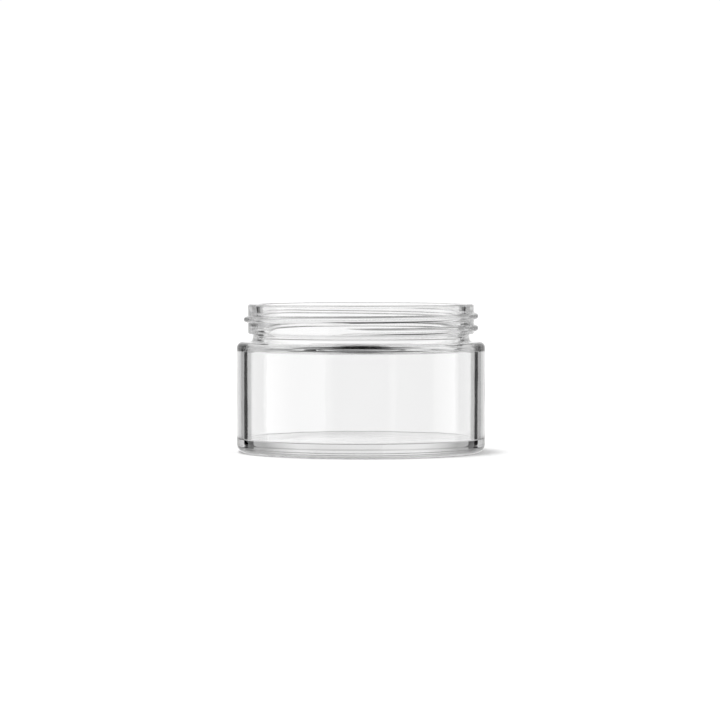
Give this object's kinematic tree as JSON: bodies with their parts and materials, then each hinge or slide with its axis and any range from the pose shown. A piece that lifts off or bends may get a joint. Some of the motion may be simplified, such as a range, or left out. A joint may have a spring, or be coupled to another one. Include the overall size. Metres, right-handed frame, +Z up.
{
  "type": "clear screw-neck jar",
  "caption": "Clear, low, wide-mouth jar for cream, moulded in one piece, open at the top, with a screw thread for a lid on its neck.",
  "frame": {"origin": "centre of the base, on the plane of the ring that the jar stands on", "axes": "+Z up through the mouth, on the axis of the jar; the thread first reaches full depth on the +X side, between -Y and +X"},
  "size_m": [0.0736, 0.0736, 0.0439],
  "materials": {
    "clear_glass": "polished, colourless and clear"
  },
  "bodies": {
    "root": {"jar": "clear_glass"}
  },
  "joints": []
}
